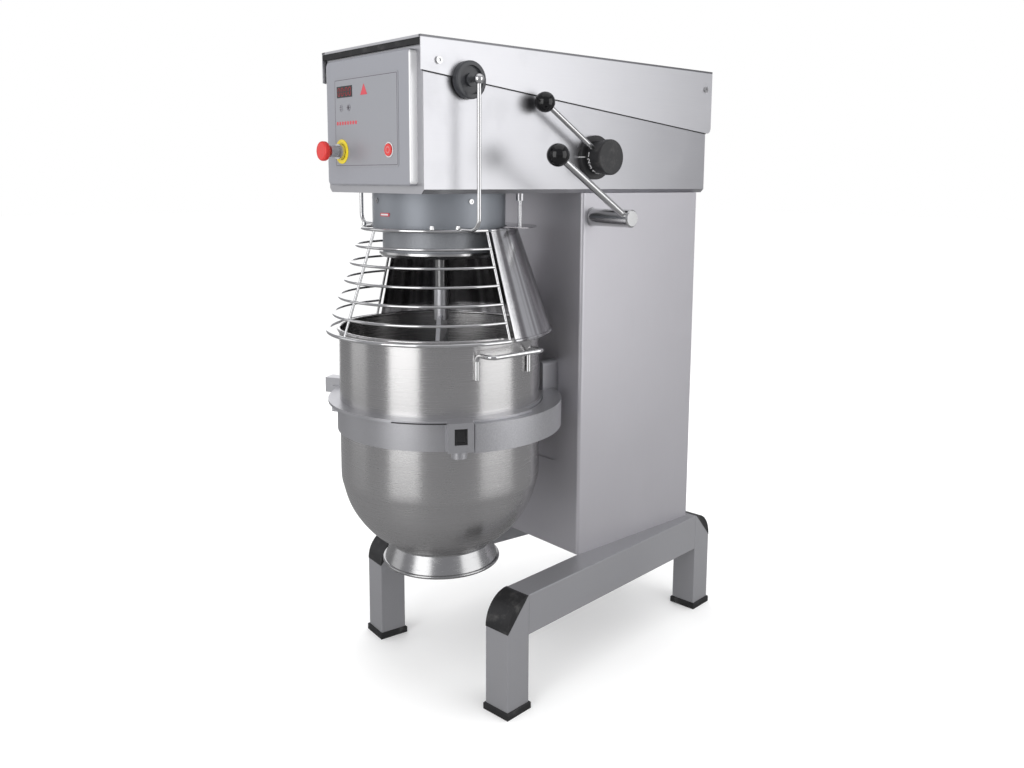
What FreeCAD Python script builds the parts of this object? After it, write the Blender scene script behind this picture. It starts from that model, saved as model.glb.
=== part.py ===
import FreeCAD, Part

import math
import os

# Floor-standing planetary stand mixer, about 60 litres. Millimetres, +Z up, the control panel faces -Y,
# the two levers are on the +X side. The model is built about the bowl's axis (x = 0, y = 0) with the
# floor at z = 0, and is moved at the end so that the origin is the bottom centre of its bounding box.

V = FreeCAD.Vector
UP = V(0, 0, 1)
RIGHT = V(1, 0, 0)
BACK = V(0, 1, 0)

# ---------------------------------------------------------------- driving dimensions
TOTAL_H = 1440.0
SHEET = 2.0
RUN = 0.05            # radial clearance of a running fit
GAP = 0.4             # gap between faces that move past each other

# base
TUBE = 68.0
TUBE_WALL = 3.0
TUBE_ROUND = 2.5
RAIL_W = 66.0
RAIL_TOP = 265.0
RAIL_BOTTOM = 172.0
SPLAY = 5.4           # degrees, rails are wider apart at the front
LEG_X = 275.0         # outer front corner of the front leg
LEG_Y = -29.0
LEG_PITCH = 737.0     # front face of the front leg to front face of the rear leg, along the rail
FOOT_H = 16.0
FOOT_LIP = 3.5
CAP_REACH = 65.0
CAP_DROP = 70.0
PLATE_T = 8.0
PLATE_BOLT_IN = 22.0  # from the column's side
PLATE_BOLT_END = 60.0

# column
COL_HALF = 183.0
COL_FRONT = 273.0
COL_REAR = 691.0
COL_BEND_R = 8.0
COL_TOP = 1134.0
SLOT_HALF = 112.0
SLOT_BOTTOM = 482.0
SLOT_TOP = 760.0
SLOT_R = 20.0
VENTS = 9
VENT_Z = 880.0
VENT_PITCH = 22.0
DOOR_EDGE = 22.0      # sheet left round the opening behind the rear cover
DOOR_END = 30.0
LIFT_BORE_R = 22.0
GLAND_X = -110.0
GLAND_RISE = 90.0

# lift
TRAVEL = 140.0
LIFT_Y = 305.0
LIFT_Z = 1079.0
GEAR_M = 4.0
SECTOR_TEETH = 40
ROD_X = 75.0
ROD_Y = 350.0
ROD_R = 14.0
LIFT_END = 306.0
BLOCK_HALF = 148.0    # carriage block
BLOCK_DEPTH = 31.0    # each side of the rods
BLOCK_BOTTOM = 590.0
BLOCK_TOP = 760.0
BUSH_WALL = 5.0
BUSH_L = 45.0
FORK_R = 270.0
FORK_BACK = 13.0      # centre of the fork's outer arc behind the bowl axis
FORK_MOUTH_Y = -96.0
EAR_IN = 80.0
EAR_OUT = 106.0
EAR_FRONT_Y = 225.0
EAR_TOP = 735.0
SHUTTER_HALF = 125.0

# bowl
BOWL_R = 228.5
BOWL_WALL = 2.5
BOWL_RIM = 836.0
BOWL_SPRING = 515.0   # height where the wall starts to curve in
BOWL_DEPTH = 218.0    # depth of the half ellipse below it
FOOT_TOP_R = 118.0
FOOT_LIP_R = 137.0
FOOT_BOTTOM = 280.0
BAND_R = 234.5
BAND_TOP = 673.5
BAND_BOTTOM = 604.0
FLANGE_R = 254.8
FLANGE_T = 6.0
FLANGE_END = 14.0     # degrees past the side where the flange ends
LUG_ANGLE = 28.0
LUG_R = 274.0
LUG_W = 27.0
LUG_H = 62.0
STOP_R = 297.0        # block on the left lug that the lift's stop meets
STOP_W = 17.0
STOP_H = 36.0

# head
HEAD_HALF = 181.0
HEAD_FRONT = -172.0
HEAD_REAR = 721.0
HEAD_BOTTOM = 1134.0
HEM = 9.0
COVER_RIGHT = 184.0
COVER_LEFT = -190.0
COVER_FRONT = -180.0
COVER_REAR = 739.0
FLANGE_FRONT = 66.0
FLANGE_REAR = 157.0
COVER_SCREW_Y = (-137.0, 712.0)
COVER_SCREW_Z = 1394.5
PAN_HALF = 160.0
PAN_FRONT = -189.0
PAN_BOTTOM = 1150.0
PAN_TOP = 1416.0
MEMBRANE = (-125.0, 120.0, 1188.0, 1377.0)
MEMBRANE_T = 0.8
WINDOW = (-113.0, -51.0, 1336.0, 1360.0)
WINDOW_T = 1.2
STOP_BUTTON_R = 21.0
STOP_BUTTON_T = 14.0
STOP_STEM_R = 8.0
STOP_STAND = 39.0     # from the panel to the back of the button
COVER_BORE_R = 3.1

# guard
GUARD_TOP_R = 174.0
GUARD_TOP_Z = 1056.5
GUARD_LOW_R = 253.0
GUARD_LOW_Z = 829.6
GUARD_RINGS = 7
WIRE_R = 3.0
PIVOT_Y = -65.0
PIVOT_Z = 1361.0
PIN_R = 6.0
BOSS_R = 38.0
BOSS_T = 15.0
BOSS_NECK_R = 10.0
BOSS_DISH_R = 29.0
BOSS_DISH_T = 6.0
ARM_X = 221.0
ARM_R = 4.5
ARM_BEND = 24.0
ARM_BALL_R = 10.5
LID_R = 219.0         # half lid on the rear shield
LID_START = 24.0
POST_ANGLE = 35.0
POST_R = 4.5
SHIELD_T = 1.5
SHIELD_END = 1.5      # degrees between the fixed shield and the hinged guard

# planetary drive
ORBIT_ANGLE = -34.0
RING_TEETH = 54
PINION_TEETH = 20
ORBIT = GEAR_M * (RING_TEETH - PINION_TEETH) / 2
NECK_R = 148.8
NECK_BOTTOM = 1053.0
DRUM_R = 127.0
DRUM_BOTTOM = 1006.0
SHAFT_R = 20.0
BIG_PULLEY_R = 130.0
SMALL_PULLEY_R = 45.0
MOTOR_Y = 500.0
BELT_Z = 1245.0

# flat beater
HUB_TOP = 925.0
HUB_BOTTOM = 857.0
BEATER_T = 9.0
BEATER_BAR = 16.0
BEATER_ANGLE = ORBIT_ANGLE - 8
BEATER_EDGE = ((321, 20), (350, 58), (415, 96), (495, 118), (795, 118), (867, 62))   # height, half width
BEATER_BAYS = ((815, 695), (679, 585), (569, 475), (459, 380))                       # top, bottom

# selector
DIAL_Y = 307.0        # selector axis
DIAL_Z = 1215.0
LEVER_RISE = 32.0     # degrees, both levers point forward and up
DIAL_R = 50.0
DIAL_T = 11.0
KNOB_SHAFT_R = 10.0
KNOB_R = 37.0
KNOB_W = 30.0
KNOB_CAP_R = 40.0
KNOB_CAP_W = 15.0
LEVER_R = 6.0
LEVER_SINK = 22.0     # from the knob's axis to the rod's buried end
LEVER_REACH = 206.0
BALL_R = 22.0

shapes = {}
frame_bolts = []      # hexagon-socket bolts of the base plate and the neck
cover_screws = []     # small round-head screws of the two covers


# ---------------------------------------------------------------- helpers
def box(x0, x1, y0, y1, z0, z1):
    return Part.makeBox(x1 - x0, y1 - y0, z1 - z0, V(x0, y0, z0))


def rod(start, end, radius):
    return Part.makeCylinder(radius, (end - start).Length, start, end - start)


def tube(start, end, outer, inner):
    return rod(start, end, outer).cut(rod(start, end, inner))


def prism(points, direction):
    return Part.Face(Part.makePolygon(points + [points[0]])).extrude(direction)


def fuse(first, *others):
    return first.fuse(list(others)).removeSplitter()


def group(solids):
    return Part.makeCompound(solids)


def mirrored(shape):
    return shape.mirror(V(0, 0, 0), RIGHT)


def pair(shape):
    return group([shape, mirrored(shape)])


def revolve(profile, angle=360.0, start=0.0):
    """Revolves a closed (radius, height) outline about the bowl's axis."""
    face = Part.Face(Part.makePolygon([V(r, 0, z) for r, z in profile + [profile[0]]]))
    face.rotate(V(0, 0, 0), UP, start)
    return face.revolve(V(0, 0, 0), UP, angle)


def wire_arc(radius, z, thickness, start, angle):
    """A round wire bent to an arc about the bowl's axis."""
    ring = Part.Face(Part.Wire(Part.Circle(V(radius, 0, z), BACK, thickness).toShape()))
    ring.rotate(V(0, 0, 0), UP, start)
    return ring.revolve(V(0, 0, 0), UP, angle)


def polar(radius, degrees, z=0.0):
    angle = math.radians(degrees)
    return V(radius * math.cos(angle), radius * math.sin(angle), z)


def turned(shape, degrees):
    shape.rotate(V(0, 0, 0), UP, degrees)
    return shape


def bent_rod(points, bend, radius):
    """A round rod along straight runs joined by tangent arcs of one bend radius."""
    edges = []
    here = points[0]
    for before, corner, after in zip(points, points[1:], points[2:]):
        d_in = (corner - before).normalize()
        d_out = (after - corner).normalize()
        half = d_in.getAngle(d_out) / 2
        cut = bend * math.tan(half)
        a = corner - d_in * cut
        b = corner + d_out * cut
        inward = (d_out - d_in).normalize()
        middle = corner + inward * (bend / math.cos(half) - bend)
        edges.append(Part.LineSegment(here, a).toShape())
        edges.append(Part.Arc(a, middle, b).toShape())
        here = b
    edges.append(Part.LineSegment(here, points[-1]).toShape())
    path = Part.Wire(edges)
    start_dir = (points[1] - points[0]).normalize()
    section = Part.Wire(Part.Circle(points[0], start_dir, radius).toShape())
    return path.makePipeShell([section], True, False)


def rounded_plate(x0, x1, z0, z1, y0, y1, radius):
    """A plate in the XZ plane with rounded corners."""
    plate = box(x0, x1, y0, y1, z0, z1)
    upright = [e for e in plate.Edges if abs(e.tangentAt(e.FirstParameter).y) > 0.9]
    return plate.makeFillet(radius, upright)


def gear_outline(teeth, module, tip, root, slack):
    """Involute tooth outline; one tooth is centred on angle 0. A negative slack widens the teeth."""
    pitch_r = module * teeth / 2
    base_r = pitch_r * math.cos(math.radians(20))
    involute = lambda r: math.sqrt(max((r / base_r) ** 2 - 1, 0)) - math.acos(min(base_r / r, 1))
    half_pitch = (math.pi * module / 2 - slack) / 2 / pitch_r + involute(pitch_r)
    tip_r = pitch_r + tip
    root_r = pitch_r - root
    steps = 4
    low = max(base_r, root_r)
    radii = [low + (tip_r - low) * i / steps for i in range(steps + 1)]
    flank = [(r, half_pitch - involute(r)) for r in radii]
    if root_r < base_r:
        flank.insert(0, (root_r, flank[0][1]))
    points = []
    for tooth in range(teeth):
        centre = 2 * math.pi * tooth / teeth
        for r, a in flank:
            points.append(V(r * math.cos(centre - a), r * math.sin(centre - a), 0))
        for r, a in reversed(flank):
            points.append(V(r * math.cos(centre + a), r * math.sin(centre + a), 0))
    return points


def screw(place, direction, head_r, head_h, shank_r, shank):
    head = rod(place, place + direction * head_h, head_r)
    socket = Part.makeCylinder(head_r * 0.45, head_h * 0.5, place + direction * (head_h * 0.5), direction)
    return head.cut(socket).fuse(rod(place - direction * shank, place, shank_r)).removeSplitter()


# ---------------------------------------------------------------- base
def along_rail(shape):
    """Puts a shape drawn with x inward from the rail's outer face and y back from the leg's front."""
    shape = shape.mirror(V(0, 0, 0), RIGHT)
    shape.rotate(V(0, 0, 0), UP, SPLAY)
    shape.translate(V(LEG_X, LEG_Y, 0))
    return shape


def leg_side(front):
    """Outline of a leg seen from the side: its top outer corner is cut on the slant for the cap."""
    points = [V(0, 0, FOOT_H), V(0, 0, RAIL_TOP - CAP_DROP), V(0, CAP_REACH, RAIL_TOP)]
    points += [V(0, TUBE, RAIL_TOP), V(0, TUBE, FOOT_H)]
    return points if front else [V(0, TUBE - p.y, p.z) for p in points]


def make_leg(front):
    outer = prism(leg_side(front), V(TUBE, 0, 0))
    outer = outer.makeFillet(TUBE_ROUND, [e for e in outer.Edges if e.BoundBox.ZLength > TUBE
                                          and e.BoundBox.YLength < CAP_REACH / 2])
    core_top = RAIL_TOP - CAP_DROP - 4 * TUBE_WALL
    inner = box(TUBE_WALL, TUBE - TUBE_WALL, TUBE_WALL, TUBE - TUBE_WALL, 0, core_top)
    return outer.cut(inner)


def make_cap(front):
    """Quarter-round plug that closes the slant cut."""
    low = V(0, 0, RAIL_TOP - CAP_DROP)
    high = V(0, CAP_REACH, RAIL_TOP)
    centre = V(0, CAP_REACH, RAIL_TOP - CAP_DROP)
    steps = 10
    arc = []
    for i in range(steps + 1):
        a = math.pi / 2 * i / steps
        arc.append(centre + V(0, -CAP_REACH * math.cos(a), CAP_DROP * math.sin(a)))
    spline = Part.BSplineCurve()
    spline.interpolate(arc, InitialTangent=V(0, 0, 1), FinalTangent=V(0, 1, 0))
    face = Part.Face(Part.Wire([spline.toShape(), Part.LineSegment(high, low).toShape()]))
    cap = face.extrude(V(TUBE, 0, 0))
    return cap if front else cap.mirror(V(0, TUBE / 2, 0), BACK)


def make_foot():
    shoe = box(-FOOT_LIP, TUBE + FOOT_LIP, -FOOT_LIP, TUBE + FOOT_LIP, 0, FOOT_H)
    shoe = shoe.makeChamfer(2.0, [e for e in shoe.Edges if e.BoundBox.ZMin > FOOT_H - 0.1])
    inner = TUBE_WALL + 0.2
    return fuse(shoe, box(inner, TUBE - inner, inner, TUBE - inner, FOOT_H, FOOT_H + 24))


def build_base():
    rail = box((TUBE - RAIL_W) / 2, (TUBE + RAIL_W) / 2, TUBE, LEG_PITCH, RAIL_BOTTOM, RAIL_TOP)
    rail = rail.makeFillet(TUBE_ROUND, [e for e in rail.Edges if e.BoundBox.YLength > LEG_PITCH / 2])
    wall = TUBE_WALL + (TUBE - RAIL_W) / 2
    rail = rail.cut(box(wall, TUBE - wall, TUBE, LEG_PITCH, RAIL_BOTTOM + TUBE_WALL, RAIL_TOP - TUBE_WALL))
    rail = along_rail(rail)
    shapes["rails"] = pair(rail)
    legs = []
    caps = []
    feet = []
    for front in (True, False):
        shift = V(0, 0 if front else LEG_PITCH, 0)
        for makers, made in (((make_leg, front), legs), ((make_cap, front), caps), ((make_foot,), feet)):
            piece = along_rail(makers[0](*makers[1:]).translated(shift))
            made += [piece, mirrored(piece)]
    shapes["legs"] = group(legs)
    shapes["corner_caps"] = group(caps)
    shapes["feet"] = group(feet)

    # plate inside the foot of the column, bolted down to the rails
    inset = SHEET + 0.5
    top = RAIL_TOP + PLATE_T
    half = COL_HALF - inset
    plate = box(-half, half, COL_FRONT + inset, COL_REAR - inset - SHEET, RAIL_TOP, top)
    corner = [e for e in plate.Edges if e.BoundBox.YMax < COL_FRONT + inset + 0.1]
    plate = plate.makeFillet(COL_BEND_R, [e for e in corner if e.BoundBox.ZLength > PLATE_T / 2])
    for y in (COL_FRONT + PLATE_BOLT_END, COL_REAR - PLATE_BOLT_END):
        place = V(COL_HALF - PLATE_BOLT_IN, y, top)
        hole = rod(place, place - UP * PLATE_T, 6.0)
        plate = plate.cut([hole, mirrored(hole)])
        bolt = screw(place, UP, 10.0, 7.0, 5.9, PLATE_T)
        frame_bolts.extend([bolt, mirrored(bolt)])
    shapes["base_plate"] = plate


# ---------------------------------------------------------------- column
def build_column():
    rear = COL_REAR - SHEET
    outer = box(-COL_HALF, COL_HALF, COL_FRONT, rear, RAIL_TOP, COL_TOP)
    corner = [e for e in outer.Edges if e.Length > 500 and abs(e.CenterOfMass.y - COL_FRONT) < 1]
    corner = [e for e in corner if abs(e.tangentAt(e.FirstParameter).z) > 0.9]
    outer = outer.makeFillet(COL_BEND_R, corner)
    inner = box(-COL_HALF + SHEET, COL_HALF - SHEET, COL_FRONT + SHEET, rear - SHEET, RAIL_TOP, COL_TOP)
    corner = [e for e in inner.Edges if e.Length > 500 and abs(e.CenterOfMass.y - COL_FRONT - SHEET) < 1]
    corner = [e for e in corner if abs(e.tangentAt(e.FirstParameter).z) > 0.9]
    inner = inner.makeFillet(COL_BEND_R - SHEET, corner)
    door_half = COL_HALF - DOOR_EDGE
    doorway = box(-door_half, door_half, rear - 2 * SHEET, rear, RAIL_TOP + DOOR_END, COL_TOP - DOOR_END)
    slot = rounded_plate(-SLOT_HALF, SLOT_HALF, SLOT_BOTTOM, SLOT_TOP,
                         COL_FRONT - 1, COL_FRONT + SHEET + 1, SLOT_R)
    bore = rod(V(COL_HALF - 10, LIFT_Y, LIFT_Z), V(COL_HALF + 1, LIFT_Y, LIFT_Z), LIFT_BORE_R)
    shapes["column_shell"] = outer.cut([inner, doorway, slot, bore])

    cover = rounded_plate(-COL_HALF + 5, COL_HALF - 5, RAIL_TOP + 8, COL_TOP - 8, rear, COL_REAR, 6.0)
    gland_z = RAIL_TOP + GLAND_RISE
    cover = cover.cut(rod(V(GLAND_X, rear - 1, gland_z), V(GLAND_X, COL_REAR + 1, gland_z), 10.0))
    openings = []
    for i in range(VENTS):
        z = VENT_Z + VENT_PITCH * i
        openings.append(box(-70, 70, rear - 1, COL_REAR + 1, z, z + 7))
    low = RAIL_TOP + 19
    high = COL_TOP - 19
    for k in range(4):
        place = V(COL_HALF - 12, COL_REAR, low + (high - low) * k / 3)
        hole = rod(place - BACK * 6, place + BACK, 2.6)
        openings += [hole, mirrored(hole)]
        one = screw(place, BACK, 5.0, 2.6, 2.5, SHEET + 1.8)
        cover_screws.extend([one, mirrored(one)])
        shapes["column_shell"] = shapes["column_shell"].cut([hole, mirrored(hole)])
    shapes["column_rear_cover"] = cover.cut(openings)

    nut = tube(V(GLAND_X, COL_REAR, gland_z), V(GLAND_X, COL_REAR + 9, gland_z), 15.0, 6.0)
    neck = tube(V(GLAND_X, rear - 10, gland_z), V(GLAND_X, COL_REAR, gland_z), 9.8, 6.0)
    dome = tube(V(GLAND_X, COL_REAR + 9, gland_z), V(GLAND_X, COL_REAR + 22, gland_z), 11.0, 6.0)
    shapes["cable_gland"] = fuse(nut, neck, dome)


# ---------------------------------------------------------------- bowl lift
def build_lift():
    rods = rod(V(ROD_X, ROD_Y, RAIL_TOP + 8), V(ROD_X, ROD_Y, COL_TOP), ROD_R)
    shapes["guide_rods"] = pair(rods)
    clamps = []
    for z0 in (RAIL_TOP + 8, COL_TOP - 34):
        clamp = box(ROD_X - 26, ROD_X + 26, ROD_Y - 26, ROD_Y + 26, z0, z0 + 34)
        clamp = clamp.cut(rod(V(ROD_X, ROD_Y, z0), V(ROD_X, ROD_Y, z0 + 34), ROD_R))
        clamps += [clamp, mirrored(clamp)]
    shapes["rod_clamps"] = group(clamps)

    # carriage: a block on four bronze bushes
    rear = ROD_Y + BLOCK_DEPTH
    front = ROD_Y - BLOCK_DEPTH
    bottom = BLOCK_BOTTOM
    top = BLOCK_TOP
    block = box(-BLOCK_HALF, BLOCK_HALF, front, rear, bottom, top)
    block = block.cut(box(-ROD_X + 30, ROD_X - 30, front - 1, rear + 1, bottom - 1, top + 1).cut(
        box(-ROD_X, ROD_X, rear - 14, rear, bottom - 1, top + 1)))
    bush_r = ROD_R + BUSH_WALL
    block = block.cut(pair(rod(V(ROD_X, ROD_Y, bottom), V(ROD_X, ROD_Y, top), bush_r)))
    shapes["carriage"] = block
    bushes = []
    for z in (bottom, top - BUSH_L):
        bush = tube(V(ROD_X, ROD_Y, z), V(ROD_X, ROD_Y, z + BUSH_L), bush_r, ROD_R + RUN)
        bushes += [bush, mirrored(bush)]
    shapes["carriage_bushes"] = group(bushes)

    # fork: a cast arc round the bowl's band, its two ears reach through the slot to the carriage
    top = BAND_TOP - FLANGE_T - 0.3
    disc = Part.makeCylinder(FORK_R, top - BAND_BOTTOM - 2, V(0, FORK_BACK, BAND_BOTTOM + 2))
    inner = Part.makeCylinder(BAND_R + 1.5, 200, V(0, 0, BAND_BOTTOM - 50))
    mouth = box(-300, 300, -400, FORK_MOUTH_Y, BAND_BOTTOM - 10, top + 10)
    heel = box(-300, 300, COL_FRONT - 11, 400, BAND_BOTTOM - 10, top + 10)
    shutter_y = COL_FRONT + SHEET + GAP
    ears = []
    for side in (1, -1):
        x0, x1 = sorted((side * EAR_IN, side * EAR_OUT))
        ear = box(x0, x1, EAR_FRONT_Y, front, BAND_BOTTOM + 40, EAR_TOP)
        top_edges = [e for e in ear.Edges if e.BoundBox.ZMin > EAR_TOP - 1 and e.Length > 40]
        ears.append(ear.makeFillet(9.0, top_edges))
    fork = fuse(disc.cut([inner, mouth, heel]), *ears).cut(inner)
    seat = box(BAND_R - 10, LUG_R + 10, -LUG_W - 0.3, LUG_W + 0.3, BAND_BOTTOM - 10, BAND_TOP)
    seat = turned(seat, -LUG_ANGLE)
    shapes["bowl_fork"] = fork.cut([seat, mirrored(seat)])

    # shutter that rides with the carriage and closes the slot from inside
    shutter = box(-SHUTTER_HALF, SHUTTER_HALF, shutter_y, shutter_y + SHEET,
                  SLOT_BOTTOM - 10, SLOT_TOP + TRAVEL + 10)
    shapes["slot_shutter"] = shutter.cut(shapes["bowl_fork"])

    # toothed rack and toothed sector
    pitch = math.pi * GEAR_M
    pitch_line = LIFT_Y + GEAR_M * SECTOR_TEETH / 2
    slope = math.tan(math.radians(20))
    tip = 0.9 * GEAR_M
    root = 1.2 * GEAR_M
    half = pitch / 4 - 0.15
    rack_back = pitch_line + 17
    first = -2
    last = int(TRAVEL / pitch) + 3
    outline = [V(130, rack_back, LIFT_Z + first * pitch)]
    for k in range(first, last):
        z = LIFT_Z + (k + 0.5) * pitch
        outline.append(V(130, pitch_line + root, z - half - root * slope))
        outline.append(V(130, pitch_line - tip, z - half + tip * slope))
        outline.append(V(130, pitch_line - tip, z + half - tip * slope))
        outline.append(V(130, pitch_line + root, z + half + root * slope))
    outline.append(V(130, rack_back, LIFT_Z + last * pitch))
    teeth = prism(outline, V(14, 0, 0))
    tail = box(130, 144, rear, rack_back, 600, LIFT_Z + first * pitch + 1)
    shapes["lift_rack"] = fuse(teeth, tail)

    gear = gear_outline(SECTOR_TEETH, GEAR_M, tip, root, 0.3)
    disc = prism(gear, V(0, 0, 12))
    wedge = [V(0, 0, 0)] + [polar(120, a) for a in (-9, 30, 69, 106)]
    disc = disc.common(prism(wedge, V(0, 0, 12)))
    disc = fuse(disc, Part.makeCylinder(24, 12))
    disc.rotate(V(0, 0, 0), V(1, 1, 1), 120)
    disc.translate(V(131, LIFT_Y, LIFT_Z))
    disc = disc.cut(rod(V(120, LIFT_Y, LIFT_Z), V(150, LIFT_Y, LIFT_Z), 12.0))
    shapes["lift_sector"] = disc

    axis = V(0, LIFT_Y, LIFT_Z)
    inner = rod(axis + RIGHT * 40, axis + RIGHT * (COL_HALF + 4), 12.0)
    sleeve = rod(axis + RIGHT * (COL_HALF + 4), axis + RIGHT * LIFT_END, 20.0)
    sleeve = sleeve.makeChamfer(3.0, [e for e in sleeve.Edges if e.BoundBox.XMin > LIFT_END - 0.1])
    shapes["lift_shaft"] = fuse(inner, sleeve)
    low = LIFT_Z - 28
    high = LIFT_Z + 20
    inner_block = box(50, 80, COL_FRONT + SHEET, LIFT_Y + 28, low, high)
    outer_block = box(150, COL_HALF - SHEET, COL_FRONT + 12, LIFT_Y + 28, low, high)
    spigot = rod(axis + RIGHT * (COL_HALF - SHEET), axis + RIGHT * (COL_HALF + 3), 21.8)
    bore = rod(axis, axis + RIGHT * LIFT_END, 12.0 + RUN)
    shapes["lift_shaft_bearings"] = group([inner_block.cut(bore), fuse(outer_block, spigot).cut(bore)])

    lever_x = LIFT_END - 16
    direction = V(0, -math.cos(math.radians(LEVER_RISE)), math.sin(math.radians(LEVER_RISE)))
    root = V(lever_x, LIFT_Y, LIFT_Z)
    hole = rod(root + direction * 8, root + direction * 40, 8.0)
    shapes["lift_shaft"] = shapes["lift_shaft"].cut(hole)
    shapes["lift_lever_rod"] = rod(root + direction * 8, root + direction * 248, 8.0)
    ball = Part.makeSphere(24.0, root + direction * 255)
    shapes["lift_lever_ball"] = ball.cut(rod(root + direction * 200, root + direction * 248, 8.0))


# ---------------------------------------------------------------- bowl
def bowl_profile(inset):
    """Half section from the centre of the bottom to the rim, as edges, moved inward by the wall."""
    spring = V(BOWL_R - inset, 0, BOWL_SPRING)
    bottom_z = BOWL_SPRING - BOWL_DEPTH + inset
    steps = 9
    arc = []
    for i in range(steps + 1):
        a = math.pi / 2 * i / steps
        arc.append(V((BOWL_R - inset) * math.sin(a), 0, BOWL_SPRING - (BOWL_DEPTH - inset) * math.cos(a)))
    curve = Part.BSplineCurve()
    curve.interpolate(arc, InitialTangent=RIGHT, FinalTangent=UP)
    return curve.toShape(), spring, V(0, 0, bottom_z)


def build_bowl():
    outer, outer_spring, outer_bottom = bowl_profile(0.0)
    inner, inner_spring, inner_bottom = bowl_profile(BOWL_WALL)
    rim_out = V(BOWL_R, 0, BOWL_RIM - 4)
    rim_in = V(BOWL_R - BOWL_WALL, 0, BOWL_RIM - 4)
    edges = [outer, Part.LineSegment(outer_spring, rim_out).toShape()]
    edges.append(Part.LineSegment(rim_out, rim_in).toShape())
    edges.append(Part.LineSegment(rim_in, inner_spring).toShape())
    edges += [inner, Part.LineSegment(inner_bottom, outer_bottom).toShape()]
    section = Part.Face(Part.Wire(Part.__sortEdges__(edges)))
    shell = section.revolve(V(0, 0, 0), UP, 360)
    bead = wire_arc(BOWL_R, BOWL_RIM - 4, 4.0, 0, 360)
    shapes["bowl"] = fuse(shell, bead)
    solid_bowl = section_solid(outer, outer_bottom)

    # foot ring: a cone with a rolled lip, welded under the bowl
    t = 2.5
    lip_r = FOOT_LIP_R - 4
    ring = revolve([(FOOT_TOP_R - t, 345), (FOOT_TOP_R, 345), (FOOT_TOP_R, 325), (lip_r, FOOT_BOTTOM + 4),
                    (lip_r - t, FOOT_BOTTOM + 4), (FOOT_TOP_R - t, 325)])
    lip = wire_arc(lip_r, FOOT_BOTTOM + 4, 4.0, 0, 360)
    shapes["bowl_foot_ring"] = fuse(ring, lip).cut(solid_bowl)

    # band: collar with a flat flange on top, and two box lugs towards the front
    bore_r = BOWL_R + 0.02
    collar = revolve([(bore_r, BAND_BOTTOM), (BAND_R, BAND_BOTTOM), (BAND_R, BAND_TOP), (bore_r, BAND_TOP)])
    low = BAND_TOP - FLANGE_T
    flange = revolve([(BAND_R - 1, low), (FLANGE_R, low), (FLANGE_R, BAND_TOP), (BAND_R - 1, BAND_TOP)],
                     180.0 + 2 * FLANGE_END, 180.0 - FLANGE_END)
    lug = box(BAND_R - 4, LUG_R, -LUG_W, LUG_W, BAND_TOP - LUG_H, BAND_TOP)
    socket = box(BAND_R + 8, LUG_R + 1, -LUG_W / 2, LUG_W / 2, BAND_TOP - 46, BAND_TOP - 12)
    boss = rod(V(250, 0, BAND_TOP - LUG_H - 16), V(250, 0, BAND_TOP - LUG_H), 17.0)
    lug = turned(fuse(lug, boss).cut(socket), -LUG_ANGLE)
    stop = box(BAND_R - 4, STOP_R, -STOP_W, STOP_W, BAND_TOP - STOP_H / 2, BAND_TOP + STOP_H / 2)
    stop = turned(stop, 180 + LUG_ANGLE)
    core = Part.makeCylinder(BOWL_R + 0.02, 300, V(0, 0, BAND_BOTTOM - 100))
    shapes["bowl_band"] = fuse(collar, flange, lug, mirrored(lug), stop).cut(core)

    # bent-rod handles, one on each side
    reach = 271.0
    wide = 72.0
    leg_x = math.sqrt((BOWL_R + 5.2) ** 2 - wide ** 2)
    path = [V(leg_x, -wide, 752), V(leg_x, -wide, 805), V(reach, -wide, 805), V(reach, wide, 805),
            V(leg_x, wide, 805), V(leg_x, wide, 752)]
    handle = bent_rod(path, 14.0, 5.0)
    shapes["bowl_handles"] = pair(handle.cut(solid_bowl))


def section_solid(outer, bottom):
    """The bowl's outer form as a full solid, used to trim what is welded onto it."""
    top = V(BOWL_R, 0, BOWL_RIM)
    edges = [outer, Part.LineSegment(V(BOWL_R, 0, BOWL_SPRING), top).toShape()]
    edges.append(Part.LineSegment(top, V(0, 0, BOWL_RIM)).toShape())
    edges.append(Part.LineSegment(V(0, 0, BOWL_RIM), bottom).toShape())
    return Part.Face(Part.Wire(Part.__sortEdges__(edges))).revolve(V(0, 0, 0), UP, 360)


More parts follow.
